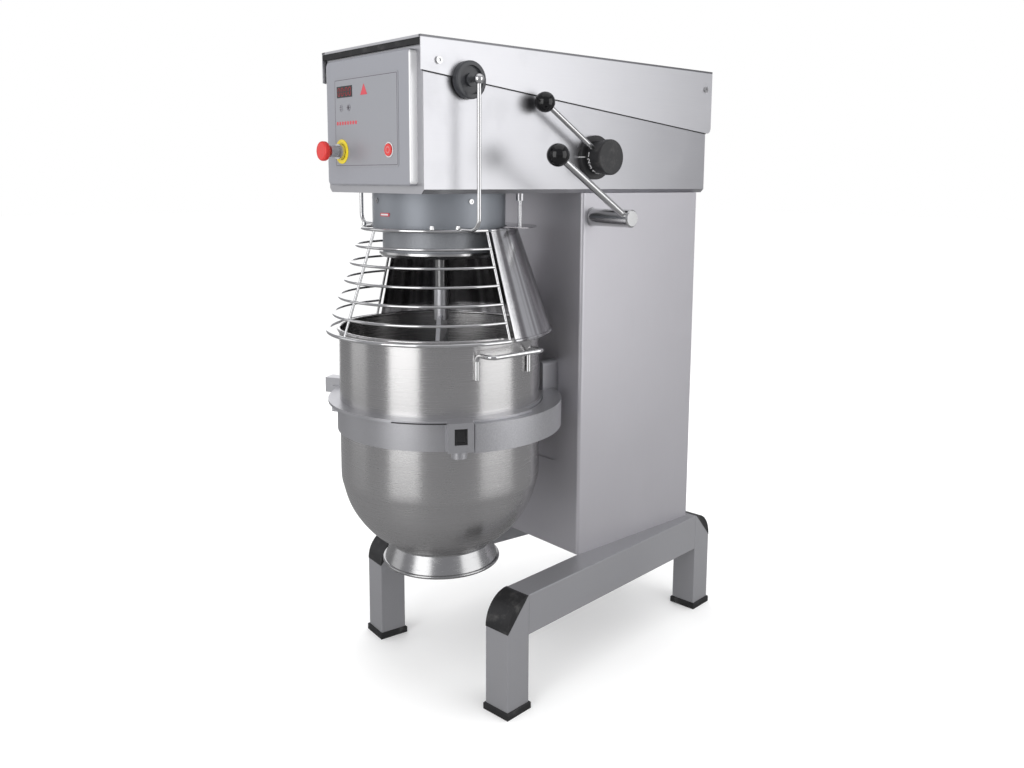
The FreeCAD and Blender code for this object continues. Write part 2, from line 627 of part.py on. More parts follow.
# ---------------------------------------------------------------- head
def build_head():
    top = TOTAL_H - SHEET - 2
    outer = box(-HEAD_HALF, HEAD_HALF, HEAD_FRONT, HEAD_REAR, HEAD_BOTTOM, top)
    low = [e for e in outer.Edges if e.BoundBox.ZMax < HEAD_BOTTOM + 1 and e.Length > 500]
    outer = outer.makeChamfer(HEM, low)
    half = HEAD_HALF - SHEET
    inner = box(-half, half, HEAD_FRONT + SHEET, HEAD_REAR - SHEET, HEAD_BOTTOM + SHEET, top)
    low = [e for e in inner.Edges if e.BoundBox.ZMax < HEAD_BOTTOM + SHEET + 1 and e.Length > 500]
    inner = inner.makeChamfer(HEM, low)
    neck_hole = Part.makeCylinder(NECK_R + 0.3, 20, V(0, 0, HEAD_BOTTOM - 5))
    well = box(-160, 160, COL_FRONT + 4, COL_REAR - 20, HEAD_BOTTOM - 5, HEAD_BOTTOM + 5)
    bores = [pair(rod(V(150, PIVOT_Y, PIVOT_Z), V(200, PIVOT_Y, PIVOT_Z), 6.5))]
    bores.append(rod(V(150, DIAL_Y, DIAL_Z), V(200, DIAL_Y, DIAL_Z), 11.0))
    for x, z, r in button_places():
        bores.append(rod(V(x, HEAD_FRONT - 1, z), V(x, HEAD_FRONT + 5, z), r))
    for y in COVER_SCREW_Y:
        for x, direction in ((COVER_RIGHT, RIGHT), (COVER_LEFT, -RIGHT)):
            place = V(x, y, COVER_SCREW_Z)
            inside = abs(x) - HEAD_HALF + SHEET
            bores.append(rod(place - direction * (inside + 1), place, COVER_BORE_R))
            cover_screws.append(screw(place, direction, 7.5, 3.6, 3.0, inside))
    shapes["head_housing"] = outer.cut([inner, neck_hole, well] + bores)

    # cover: flat top, side flanges that deepen towards the back
    roof = box(COVER_LEFT, COVER_RIGHT, COVER_FRONT, COVER_REAR, TOTAL_H - SHEET, TOTAL_H)
    side = [V(0, COVER_FRONT, TOTAL_H), V(0, COVER_FRONT, TOTAL_H - FLANGE_FRONT)]
    side += [V(0, COVER_REAR, TOTAL_H - FLANGE_REAR), V(0, COVER_REAR, TOTAL_H)]
    flange = prism(side, V(SHEET, 0, 0))
    low_corner = [e for e in flange.Edges if e.Length < 3 and e.BoundBox.YMin > COVER_REAR - 1
                  and e.BoundBox.ZMax < TOTAL_H - 50]
    flange = flange.makeFillet(14.0, low_corner)
    notch = rod(V(-250, PIVOT_Y, PIVOT_Z), V(250, PIVOT_Y, PIVOT_Z), 10.5)
    right = flange.translated(V(COVER_RIGHT - SHEET, 0, 0))
    left = flange.translated(V(COVER_LEFT, 0, 0))
    tail = box(COVER_LEFT + 12, COVER_RIGHT - 12, COVER_REAR - SHEET, COVER_REAR,
               TOTAL_H - FLANGE_REAR + 12, TOTAL_H)
    lip = box(COVER_LEFT, COVER_RIGHT, COVER_FRONT, COVER_FRONT + SHEET, TOTAL_H - 5, TOTAL_H)
    cover = fuse(roof, right, left, tail, lip).cut(notch)
    holes = [rod(V(-250, y, COVER_SCREW_Z), V(250, y, COVER_SCREW_Z), COVER_BORE_R) for y in COVER_SCREW_Y]
    shapes["head_cover"] = cover.cut(holes)
    strip = box(COVER_LEFT + SHEET, COVER_RIGHT - SHEET, COVER_FRONT + 1, HEAD_FRONT,
                TOTAL_H - 17, TOTAL_H - 5)
    shapes["cover_seal"] = strip

    # raised control pan on the front wall
    pan = rounded_plate(-PAN_HALF, PAN_HALF, PAN_BOTTOM, PAN_TOP, PAN_FRONT, HEAD_FRONT, 12.0)
    face_edges = [e for e in pan.Edges if e.BoundBox.YMax < PAN_FRONT + 0.1]
    pan = pan.makeFillet(4.0, face_edges)
    hollow = rounded_plate(-PAN_HALF + SHEET, PAN_HALF - SHEET, PAN_BOTTOM + SHEET, PAN_TOP - SHEET,
                           PAN_FRONT + SHEET, HEAD_FRONT, 10.0)
    bores = [rod(V(x, PAN_FRONT - 2, z), V(x, HEAD_FRONT + 5, z), r) for x, z, r in button_places()]
    shapes["control_pan"] = pan.cut([hollow] + bores)
    membrane = rounded_plate(*MEMBRANE, PAN_FRONT - MEMBRANE_T, PAN_FRONT, 5.0)
    x0, x1, z0, z1 = WINDOW
    window = box(x0, x1, PAN_FRONT - WINDOW_T, PAN_FRONT, z0, z1)
    shapes["membrane_panel"] = membrane.cut(bores + [window])
    shapes["display_window"] = window

    # push buttons
    x, z, r = button_places()[0]
    place = V(x, PAN_FRONT - MEMBRANE_T, z)
    collar = tube(place + BACK * 30, place - BACK * 32, r - GAP, STOP_STEM_R)
    nut = tube(place, place - BACK * 12, 16.5, STOP_STEM_R)
    shapes["estop_collar"] = fuse(collar, nut)
    face = place - BACK * (STOP_STAND + STOP_BUTTON_T)
    mushroom = rod(place - BACK * STOP_STAND, face, STOP_BUTTON_R)
    mushroom = mushroom.makeFillet(5.0, [e for e in mushroom.Edges if e.Closed])
    stem = rod(place + BACK * 24, place - BACK * (STOP_STAND + 1), STOP_STEM_R - RUN)
    shapes["estop_button"] = fuse(mushroom, stem)
    x, z, r = button_places()[1]
    place = V(x, PAN_FRONT - MEMBRANE_T, z)
    shapes["start_button"] = rod(place + BACK * 14, place - BACK * 3.4, r - RUN)
    for name, (x, z, r) in zip(("key_light", "key_timer"), button_places()[2:]):
        place = V(x, PAN_FRONT - MEMBRANE_T, z)
        shapes[name] = rod(place + BACK * 12, place - BACK * 0.9, r - RUN)


def button_places():
    """Centre x, centre z and hole radius of each push button on the panel."""
    return [(-96.0, 1222.0, 13.0), (86.0, 1222.0, 12.5), (-97.0, 1314.0, 7.0), (-66.0, 1314.0, 7.0)]


def build_guard():
    # fixed pivot bosses on both sides of the head
    bore_r = PIN_R + RUN
    root = V(COVER_RIGHT, PIVOT_Y, PIVOT_Z)
    face = root + RIGHT * BOSS_T
    right = tube(V(HEAD_HALF, PIVOT_Y, PIVOT_Z), root, BOSS_NECK_R, bore_r)
    disc = tube(root, face, BOSS_R, bore_r)
    rim = [e for e in disc.Edges if e.BoundBox.ZLength > BOSS_R + 32 and e.BoundBox.XMin > face.x - 1]
    disc = disc.makeFillet(3.0, rim)
    dish = tube(face - RIGHT * BOSS_DISH_T, face, BOSS_DISH_R, 13.0)
    right_boss = fuse(right, disc.cut(dish))
    shift = COVER_RIGHT + COVER_LEFT
    left = tube(V(-HEAD_HALF, PIVOT_Y, PIVOT_Z), V(COVER_LEFT, PIVOT_Y, PIVOT_Z), BOSS_NECK_R, bore_r)
    left_boss = fuse(left, mirrored(disc.cut(dish)).translated(V(shift, 0, 0)))
    shapes["guard_pivot_bosses"] = group([right_boss, left_boss])

    # each arm: pin, ball and rod, bent in at the bottom to the guard's top ring
    top = V(ARM_X, PIVOT_Y, PIVOT_Z)
    ring_x = math.sqrt(GUARD_TOP_R ** 2 - PIVOT_Y ** 2)
    pin = rod(V(HEAD_HALF - 14, PIVOT_Y, PIVOT_Z), top, PIN_R)
    ball = Part.makeSphere(ARM_BALL_R, top)
    path = [top, V(ARM_X, PIVOT_Y, GUARD_TOP_Z + 4), V(ring_x + 1, PIVOT_Y, GUARD_TOP_Z + 4)]
    shank = bent_rod(path, ARM_BEND, ARM_R)
    washer = rod(V(HEAD_HALF - 14, PIVOT_Y, PIVOT_Z), V(HEAD_HALF - SHEET - GAP, PIVOT_Y, PIVOT_Z), 12.0)
    span = 180 - 2 * SHIELD_END
    ring = wire_arc(GUARD_TOP_R, GUARD_TOP_Z, WIRE_R + 0.8, -180 + SHIELD_END, span)
    arms = pair(fuse(pin, ball, shank, washer))
    shapes["guard_arms"] = group([s.cut(ring) for s in arms.Solids])

    # wire front guard: rings and three ribs
    slope = (GUARD_LOW_R - GUARD_TOP_R) / (GUARD_RINGS - 1)
    drop = (GUARD_TOP_Z - GUARD_LOW_Z) / (GUARD_RINGS - 1)
    parts = [ring]
    for i in range(1, GUARD_RINGS):
        thick = WIRE_R + (1.0 if i == GUARD_RINGS - 1 else 0.0)
        parts.append(wire_arc(GUARD_TOP_R + slope * i, GUARD_TOP_Z - drop * i, thick,
                              -180 + SHIELD_END, span))
    for angle in (-178.6, -90.0, -1.4):
        high = polar(GUARD_TOP_R - 1.5, angle, GUARD_TOP_Z)
        low = polar(GUARD_LOW_R - 1.5, angle, GUARD_LOW_Z)
        parts.append(rod(high, low, WIRE_R))
    shapes["wire_guard"] = fuse(parts[0], *parts[1:])

    # fixed polished shield round the back, on two posts
    t = SHIELD_T
    sheet = revolve([(GUARD_TOP_R + 1, GUARD_TOP_Z), (GUARD_TOP_R + 1 + t, GUARD_TOP_Z),
                     (GUARD_LOW_R + t, GUARD_LOW_Z), (GUARD_LOW_R, GUARD_LOW_Z)], span, SHIELD_END)
    high = wire_arc(GUARD_TOP_R, GUARD_TOP_Z, WIRE_R + 0.8, SHIELD_END, span)
    low = wire_arc(GUARD_LOW_R, GUARD_LOW_Z, WIRE_R + 1.0, SHIELD_END, span)
    lid_z = GUARD_TOP_Z + WIRE_R
    lid = revolve([(NECK_R + 4, lid_z), (LID_R, lid_z), (LID_R, lid_z + 2), (NECK_R + 4, lid_z + 2)],
                  2 * (90 - LID_START), LID_START)
    foot = polar(GUARD_TOP_R + 12, POST_ANGLE, lid_z)
    head = V(foot.x, foot.y, HEAD_BOTTOM)
    posts = pair(fuse(rod(foot, head, POST_R), rod(head - UP * 16, head, 2 * POST_R)))
    shapes["rear_shield"] = fuse(sheet, high, low, lid, *posts.Solids)


# ---------------------------------------------------------------- drive
def build_drive():
    neck = tube(V(0, 0, NECK_BOTTOM), V(0, 0, HEAD_BOTTOM + SHEET), NECK_R, NECK_R - 11)
    flange = tube(V(0, 0, HEAD_BOTTOM + SHEET), V(0, 0, HEAD_BOTTOM + SHEET + 12), 166.0, 50.0)
    housing = tube(V(0, 0, HEAD_BOTTOM - 30), V(0, 0, HEAD_BOTTOM + SHEET + 60), 50.0, 36.0)
    web = tube(V(0, 0, HEAD_BOTTOM - 10), V(0, 0, HEAD_BOTTOM + SHEET), NECK_R - 5, 45.0)
    neck = fuse(neck, flange, housing, web)
    bolts = []
    for k in range(8):
        place = polar(157, 22.5 + 45 * k, HEAD_BOTTOM + SHEET + 12)
        bolts.append(screw(place, UP, 6.5, 6.0, 4.0, 12.0))
    for k in range(4):
        direction = polar(1, -10 + 90 * k)
        place = direction * (NECK_R - 0.15) + UP * 1117
        bolts.append(screw(place, direction, 5.5, 3.0, 3.0, 9.0))
    shapes["neck_casting"] = neck.cut(bolts)
    frame_bolts.extend(bolts)

    ring_r = GEAR_M * RING_TEETH / 2
    blank = tube(V(0, 0, 1062), V(0, 0, 1090), NECK_R - 11, ring_r - 0.9 * GEAR_M)
    cutter = prism(gear_outline(RING_TEETH, GEAR_M, 1.2 * GEAR_M, 1.5 * GEAR_M, -0.3), V(0, 0, 40))
    cutter.rotate(V(0, 0, 0), UP, ORBIT_ANGLE)
    shapes["ring_gear"] = blank.cut(cutter.translated(V(0, 0, 1056)))

    bearings = []
    for z in (HEAD_BOTTOM - 28, HEAD_BOTTOM + SHEET + 38):
        bearings.append(tube(V(0, 0, z), V(0, 0, z + 20), 36.0, SHAFT_R + RUN))
    shapes["main_bearings"] = group(bearings)

    shaft = rod(V(0, 0, DRUM_BOTTOM + 20), V(0, 0, BELT_Z + 24), SHAFT_R)
    shapes["main_shaft"] = shaft
    shapes["drive_pulley"] = pulley(V(0, 0, BELT_Z), BIG_PULLEY_R).cut(shaft)

    # planet head: drum that carries the planet shaft, with a bright rim under it
    centre = polar(ORBIT, ORBIT_ANGLE)
    bore = Part.makeCylinder(26.0, 80, V(centre.x, centre.y, DRUM_BOTTOM - 20))
    drum = Part.makeCylinder(DRUM_R, NECK_BOTTOM - 3 - DRUM_BOTTOM, V(0, 0, DRUM_BOTTOM))
    shapes["planet_head"] = drum.cut([bore, shaft])
    rim = revolve([(DRUM_R - 14, DRUM_BOTTOM), (DRUM_R + 9, DRUM_BOTTOM), (DRUM_R + 9, DRUM_BOTTOM - 5),
                   (DRUM_R + 3, DRUM_BOTTOM - 12), (DRUM_R - 14, DRUM_BOTTOM - 12)])
    shapes["planet_rim"] = rim
    seats = []
    for z in (DRUM_BOTTOM, NECK_BOTTOM - 3 - 14):
        base = V(centre.x, centre.y, z)
        seats.append(tube(base, base + UP * 14, 26.0, 13.0 + RUN))
    shapes["planet_bearings"] = group(seats)

    pinion = prism(gear_outline(PINION_TEETH, GEAR_M, 0.9 * GEAR_M, 1.2 * GEAR_M, 0.3), V(0, 0, 22))
    pinion.rotate(V(0, 0, 0), UP, ORBIT_ANGLE)
    pinion = pinion.translated(centre + UP * 1065)
    spindle = rod(centre + UP * (HUB_TOP - 30), centre + UP * 1092, 13.0)
    shapes["planet_shaft"] = fuse(pinion, spindle)
    shapes["flat_beater"] = make_beater().translated(centre).cut(spindle)

    # motor, belt and motor pulley
    place = V(0, MOTOR_Y, BELT_Z)
    motor_shaft = rod(place - UP * 22, place + UP * 40, 12.0)
    shapes["motor_shaft"] = motor_shaft
    shapes["motor_pulley"] = pulley(place, SMALL_PULLEY_R).cut(motor_shaft)
    body = Part.makeCylinder(84.0, 132, place + UP * 41)
    fins = []
    for k in range(24):
        fin = box(80, 90, -1.5, 1.5, 0, 104)
        fin.rotate(V(0, 0, 0), UP, 15 * k)
        fins.append(fin.translated(place + UP * 53))
    body = fuse(body, *fins).cut(rod(place, place + UP * 60, 12.0 + RUN))
    shapes["motor"] = body
    deck_z = BELT_Z + 33
    wide = HEAD_HALF - SHEET
    deck = box(-wide, wide, MOTOR_Y - 100, MOTOR_Y + 100, deck_z, deck_z + 8)
    webs = pair(box(wide - 8, wide, MOTOR_Y - 90, MOTOR_Y + 90, HEAD_BOTTOM + SHEET + HEM, deck_z))
    deck = fuse(deck, *webs.Solids).cut(rod(place, place + UP * 60, 30.0))
    shapes["motor_bracket"] = deck
    shapes["drive_belt"] = belt(place)


def pulley(place, radius):
    """Flanged wheel with a groove for the belt."""
    lower = Part.makeCylinder(radius, 5, place - UP * 13)
    upper = Part.makeCylinder(radius, 5, place + UP * 8)
    core = Part.makeCylinder(radius - 9, 16, place - UP * 8)
    return fuse(core, lower, upper)


def belt_form(big, small, height, low):
    """Closed outline round two wheels, as a solid."""
    offset = math.asin((big - small) / MOTOR_Y)
    hull = [polar(big, math.degrees(offset)), polar(big, 180 - math.degrees(offset))]
    far = [p * (small / big) + V(0, MOTOR_Y, 0) for p in hull]
    body = prism([p + UP * low for p in (hull[0], far[0], far[1], hull[1])], UP * height)
    near_end = Part.makeCylinder(big, height, V(0, 0, low))
    far_end = Part.makeCylinder(small, height, V(0, MOTOR_Y, low))
    return body.fuse([near_end, far_end]).removeSplitter()


def belt(place):
    inner = belt_form(BIG_PULLEY_R - 8.6, SMALL_PULLEY_R - 8.6, 30, BELT_Z - 15)
    outer = belt_form(BIG_PULLEY_R - 0.6, SMALL_PULLEY_R - 0.6, 13, BELT_Z - 6.5)
    return outer.cut(inner)


def make_beater():
    """Flat beater: hub, closed frame that follows the bowl, a middle bar and cross bars."""
    hub = Part.makeCylinder(16.0, HUB_TOP - HUB_BOTTOM, V(0, 0, HUB_BOTTOM))
    side = [V(w, -BEATER_T / 2, z) for z, w in BEATER_EDGE]
    plate = prism(side + [V(-p.x, p.y, p.z) for p in reversed(side)], BACK * BEATER_T)
    windows = []
    for top, bottom in BEATER_BAYS:
        wide_top = beater_half_width(top) - BEATER_BAR
        wide_bottom = beater_half_width(bottom) - BEATER_BAR
        near = BEATER_BAR / 2
        bay = [V(near, -BEATER_T, bottom), V(wide_bottom, -BEATER_T, bottom), V(wide_top, -BEATER_T, top)]
        bay.append(V(near, -BEATER_T, top))
        opening = prism(bay, BACK * 2 * BEATER_T)
        windows += [opening, mirrored(opening)]
    return turned(fuse(hub, plate.cut(windows)), BEATER_ANGLE)


def beater_half_width(z):
    for (z0, w0), (z1, w1) in zip(BEATER_EDGE, BEATER_EDGE[1:]):
        if z0 <= z <= z1:
            return w0 + (w1 - w0) * (z - z0) / (z1 - z0)
    return 0.0


# ---------------------------------------------------------------- speed selector
def build_selector():
    axis = V(0, DIAL_Y, DIAL_Z)
    face_x = HEAD_HALF + DIAL_T
    dial = tube(axis + RIGHT * HEAD_HALF, axis + RIGHT * face_x, DIAL_R, KNOB_SHAFT_R + RUN)
    rim = [e for e in dial.Edges if e.BoundBox.ZLength > 1.8 * DIAL_R and e.BoundBox.XMin > face_x - 1]
    shapes["speed_dial"] = dial.makeFillet(2.0, rim)

    # knob: grooved drum with a cap, on a shaft that carries an arm inside the head
    drum_x = face_x + 1
    cap_x = drum_x + KNOB_W
    end_x = cap_x + KNOB_CAP_W
    arm_x = HEAD_HALF - 33
    arm_t = 8.0
    shaft = rod(axis + RIGHT * (arm_x - 2), axis + RIGHT * drum_x, KNOB_SHAFT_R)
    drum = rod(axis + RIGHT * drum_x, axis + RIGHT * cap_x, KNOB_R)
    cap = rod(axis + RIGHT * cap_x, axis + RIGHT * end_x, KNOB_CAP_R)
    cap = cap.makeFillet(3.0, [e for e in cap.Edges if e.Closed and e.BoundBox.XMin > end_x - 1])
    arm = fuse(box(arm_x, arm_x + arm_t, DIAL_Y - 60, DIAL_Y, DIAL_Z - 9, DIAL_Z + 9),
               rod(axis + RIGHT * arm_x, axis + RIGHT * (arm_x + arm_t), 18.0))
    direction = V(0, -math.cos(math.radians(LEVER_RISE)), math.sin(math.radians(LEVER_RISE)))
    root = axis + RIGHT * (drum_x + KNOB_W / 2 + 1)
    sunk = root + direction * LEVER_SINK
    end = root + direction * LEVER_REACH
    knob = fuse(shaft, drum, cap).cut(rod(sunk, root + direction * 60, LEVER_R))
    shapes["speed_knob"] = fuse(knob, arm)
    shapes["speed_lever_rod"] = rod(sunk, end, LEVER_R)
    ball = Part.makeSphere(BALL_R, root + direction * (LEVER_REACH + 7))
    shapes["speed_lever_ball"] = ball.cut(rod(root + direction * (LEVER_REACH - 26), end, LEVER_R))


def save_all():
    everything = Part.makeCompound(list(shapes.values())).optimalBoundingBox(False, False)
    shift = V(-everything.Center.x, -everything.Center.y, 0)
    print("shift", round(shift.x, 3), round(shift.y, 3), "size",
          everything.XLength, everything.YLength, everything.ZLength)
    os.makedirs("parts", exist_ok=True)
    for name, shape in shapes.items():
        shape.translated(shift).exportStep("parts/" + name + ".step")
    return shift


build_base()
build_column()
build_lift()
build_bowl()
build_head()
build_guard()
build_drive()
build_selector()
shapes["frame_bolts"] = group(frame_bolts)
shapes["cover_screws"] = group(cover_screws)
SHIFT = save_all()
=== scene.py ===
import math
import bpy
from mathutils import Euler, Matrix, Vector


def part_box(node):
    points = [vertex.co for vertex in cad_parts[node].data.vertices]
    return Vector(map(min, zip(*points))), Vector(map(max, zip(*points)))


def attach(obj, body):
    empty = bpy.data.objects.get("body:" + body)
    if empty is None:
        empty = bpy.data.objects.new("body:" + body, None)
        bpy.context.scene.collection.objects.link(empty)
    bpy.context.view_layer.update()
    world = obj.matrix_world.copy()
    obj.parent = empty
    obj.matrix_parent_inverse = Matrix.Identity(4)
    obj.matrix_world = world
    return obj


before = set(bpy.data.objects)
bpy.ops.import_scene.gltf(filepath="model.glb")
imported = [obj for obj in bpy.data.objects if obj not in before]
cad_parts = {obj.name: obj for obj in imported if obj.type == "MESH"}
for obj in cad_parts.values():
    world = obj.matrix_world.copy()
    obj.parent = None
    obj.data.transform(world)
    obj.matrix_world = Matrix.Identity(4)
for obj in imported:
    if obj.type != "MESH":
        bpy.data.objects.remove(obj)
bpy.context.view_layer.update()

# Camera. It stands off the machine's front right corner, a little above the top of the bowl guard, and
# looks slightly down. The bowl's axis is the zero line that every piece is placed from.
low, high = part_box("bowl")
AXIS = Vector(((low.x + high.x) / 2, (low.y + high.y) / 2, 0.0))
EYE = (1.660, -1.5117, 1.1602)
LOOK_DEGREES = (81.915, -0.288, 48.794)
camera_data = bpy.data.cameras.new("camera")
camera_data.lens = 32.45
camera_data.sensor_width = 36.0
camera_data.shift_y = -0.070
camera = bpy.data.objects.new("camera", camera_data)
camera.location = EYE
camera.rotation_euler = Euler([math.radians(degrees) for degrees in LOOK_DEGREES])
bpy.context.scene.collection.objects.link(camera)
bpy.context.scene.camera = camera
bpy.context.scene.view_settings.view_transform = "Standard"


# Studio. A pale paper floor and a white room, both dimmer in reflections than they look, so that polished
# steel keeps dark zones. Four soft boxes stand round the machine and one hangs over it.
class Wire:
    """One value or colour inside a finish, so that its sums can be written as plain arithmetic."""

    def __init__(self, tree, socket):
        self.tree = tree
        self.socket = socket

    def node(self, kind, settings, inputs, output=0):
        """Any node: its type, its settings, then the values or wires that go into it."""
        made = self.tree.nodes.new("ShaderNode" + kind)
        for name, value in settings.items():
            setattr(made, name, value)
        for name, value in inputs.items():
            if isinstance(value, Wire):
                self.tree.links.new(value.socket, made.inputs[name])
            else:
                made.inputs[name].default_value = value
        return Wire(self.tree, made.outputs[output])

    def maths(self, operation, first, second=0.0):
        return self.node("Math", {"operation": operation}, {0: first, 1: second})

    def __add__(self, other):
        return self.maths("ADD", self, other)

    def __sub__(self, other):
        return self.maths("SUBTRACT", self, other)

    def __rsub__(self, other):
        return self.maths("SUBTRACT", other, self)

    def __mul__(self, other):
        return self.maths("MULTIPLY", self, other)

    __radd__ = __add__
    __rmul__ = __mul__

    def part(self, letter):
        return self.node("SeparateXYZ", {}, {"Vector": self}, letter)

    def off_middle(self):
        """How far to the left or right of the machine's middle plane a point lies."""
        return self.maths("ABSOLUTE", self.part("X") - AXIS.x)

    def stretched(self, x, y, z):
        return self.node("Mapping", {}, {"Vector": self, "Scale": (x, y, z)})

    def noise(self, scale, detail=2.0, roughness=0.5):
        return self.node("TexNoise", {},
                         {"Vector": self, "Scale": scale, "Detail": detail, "Roughness": roughness})

    def band(self, start, end):
        """0 below start, 1 above end, and a soft step between."""
        return self.node("MapRange", {"interpolation_type": "SMOOTHSTEP"},
                         {"Value": self, "From Min": start, "From Max": end})

    def mix(self, first, second):
        """First colour where this value is 0, second where it is 1. Each is a wire or three numbers."""
        ends = [end if isinstance(end, Wire) else (*end, 1.0) for end in (first, second)]
        return self.node("Mix", {"data_type": "RGBA"}, {0: self, 6: ends[0], 7: ends[1]}, 2)

    def relief(self, strength, depth):
        return self.node("Bump", {}, {"Height": self, "Strength": strength, "Distance": depth})


def start_finish(name, colour, roughness, metallic=0.0, **constant):
    """A new finish and its place wire. The values given here are the same all over the piece."""
    material = bpy.data.materials.new(name)
    material.use_nodes = True
    tree = material.node_tree
    shader = tree.nodes["Principled BSDF"]
    shader.inputs["Base Color"].default_value = (*colour, 1.0)
    shader.inputs["Roughness"].default_value = roughness
    shader.inputs["Metallic"].default_value = metallic
    for socket, value in constant.items():
        shader.inputs[socket.replace("_", " ")].default_value = value
    return material, Wire(tree, tree.nodes.new("ShaderNodeTexCoord").outputs["Object"])


def feed(material, **wires):
    """Leads the wires that vary over a piece into the shader's sockets."""
    tree = material.node_tree
    for socket, wire in wires.items():
        tree.links.new(wire.socket, tree.nodes["Principled BSDF"].inputs[socket.replace("_", " ")])


def clear_selection():
    bpy.ops.object.select_all(action="DESELECT")


FLOOR_SIZE = 60.0
PAPER = 0.95
PAPER_GLOW = 0.07
PAPER_MIRRORED = (0.18, 0.18, 0.185)
ROOM = (1.0, 1.0, 1.0)
ROOM_MIRRORED = (0.36, 0.36, 0.38)

clear_selection()
bpy.ops.mesh.primitive_plane_add(size=FLOOR_SIZE, location=(0.0, 0.0, 0.0))
floor = bpy.context.object
floor.name = "studio_floor"
floor_finish, place = start_finish("floor_paper", (PAPER, PAPER, PAPER), 0.9, Specular_IOR_Level=0.0,
                                   Emission_Color=(1.0, 1.0, 1.0, 1.0), Emission_Strength=PAPER_GLOW)
paper = place.noise(0.7, 4.0).mix((0.94, 0.94, 0.94), (0.965, 0.965, 0.965))
mirrored = place.node("LightPath", {}, {}, "Is Glossy Ray")
feed(floor_finish, Base_Color=mirrored.mix(paper, PAPER_MIRRORED))
floor.data.materials.append(floor_finish)

world = bpy.data.worlds.new("studio")
bpy.context.scene.world = world
world.use_nodes = True
room_nodes = world.node_tree.nodes
mirrored = Wire(world.node_tree, room_nodes.new("ShaderNodeLightPath").outputs["Is Glossy Ray"])
room_colour = mirrored.mix(ROOM, ROOM_MIRRORED)
world.node_tree.links.new(room_colour.socket, room_nodes["Background"].inputs["Color"])


def at(x, y, z):
    """A point given in metres from the bowl's axis and the floor."""
    return AXIS + Vector((x, y, z))


def soft_box(name, degrees, away, height, wide, tall, watts):
    """A soft box that stands round the machine, at an angle from +X, and faces its middle. Metres."""
    data = bpy.data.lights.new(name, "AREA")
    data.shape = "RECTANGLE"
    data.size = wide
    data.size_y = tall
    data.energy = watts
    lamp = bpy.data.objects.new(name, data)
    angle = math.radians(degrees)
    lamp.location = at(away * math.cos(angle), away * math.sin(angle), height)
    lamp.rotation_euler = (at(0.0, 0.1, 0.75) - lamp.location).to_track_quat("-Z", "Y").to_euler()
    lamp.visible_camera = False
    bpy.context.scene.collection.objects.link(lamp)


soft_box("light_front", -76.0, 3.0, 1.25, 1.9, 3.3, 38.0)
soft_box("light_side", 27.0, 3.0, 1.1, 2.3, 3.3, 34.0)
soft_box("light_back", 150.0, 3.0, 1.6, 2.3, 3.3, 24.0)
soft_box("light_left", -137.0, 3.4, 1.3, 1.7, 2.6, 7.0)
soft_box("light_top", 60.0, 0.5, 3.6, 3.2, 3.2, 16.0)


# Splayed base. Two rails and four legs of square steel tube, welded, ground flush and powder coated in
# silver grey. The coat has a fine orange peel, and rubs a little brighter in upright patches.
# Painted highlight: the bright tone given to side walls that stand further out than a coat's rim.
PAINTED_WALL_HIGHLIGHT = (0.86, 0.86, 0.87)
WALL_HIGHLIGHT_STEP = 0.0015


def powder_coat(name, dark, light, rim=None):
    """Painted steel. Where a side wall starts further out than rim, its colour turns to a bright painted
    highlight that stands in for the light on that wall.
    """
    finish, place = start_finish(name, light, 0.42, 0.45, Coat_Weight=0.15, Coat_Roughness=0.3)
    cloud = place.noise(2.2, 3.0)
    grain = place.noise(900.0, 2.0)
    rub = place.stretched(1.0, 1.0, 0.35).noise(26.0, 6.0, 0.65).band(0.60, 0.78)
    colour = (cloud * 0.8 + grain * 0.2).mix(dark, light)
    if rim:
        # Painted highlight on the side walls past rim.
        colour = place.off_middle().band(rim - WALL_HIGHLIGHT_STEP, rim + WALL_HIGHLIGHT_STEP).mix(colour, PAINTED_WALL_HIGHLIGHT)
    peel = grain * 0.6 + place.noise(240.0, 2.0)
    feed(finish, Base_Color=colour, Roughness=0.36 + cloud * 0.10 + rub * 0.10,
         Normal=peel.relief(0.10, 0.0004))
    return finish


def dress(finish, *names):
    """Gives machine parts that keep their own shape a finish."""
    for name in names:
        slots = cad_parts[name].data.materials
        slots.clear()
        slots.append(finish)


grey_coat = powder_coat("grey_powder_coat", (0.25, 0.25, 0.265), (0.32, 0.32, 0.335))
dress(grey_coat, "rails", "legs")


# Feet and corner caps. Black moulded plugs: each foot is a shoe pushed up into its leg, each cap a quarter
# round that closes the slanted end of the tube. Both have a fine leathery grain and hold a little dust.
DUST = (0.16, 0.155, 0.15)


def black_moulding(name, tone, roughness, grain_size, grain_depth):
    colour = (tone, tone, tone * 1.08)
    finish, place = start_finish(name, colour, roughness)
    grain = place.noise(grain_size, 3.0, 0.6)
    dust = place.noise(34.0, 5.0, 0.7).band(0.50, 0.80)
    feed(finish, Base_Color=(dust * 0.35).mix(colour, DUST),
         Roughness=roughness + grain * 0.12 + dust * 0.15, Normal=grain.relief(0.35, grain_depth))
    return finish


rubber = black_moulding("foot_rubber", 0.013, 0.55, 700.0, 0.0003)
cap_black = black_moulding("cap_plastic", 0.012, 0.28, 420.0, 0.0002)
dress(rubber, "feet")
dress(cap_black, "corner_caps", "cable_gland")


# Column. One folded sheet steel box with soft bends at its front corners, closed behind by a louvred
# cover, brushed upright and left in satin steel like the plate that it is bolted down with.
# Painted shade: the darker tone given to a lid's bent top edge.
PAINTED_FOLD_SHADE = (0.20, 0.20, 0.21)
FOLD_START, FOLD_END = 0.1770, 0.1785      # from the middle plane, where a lid's edge turns down
FOLD_DEPTH = 0.002


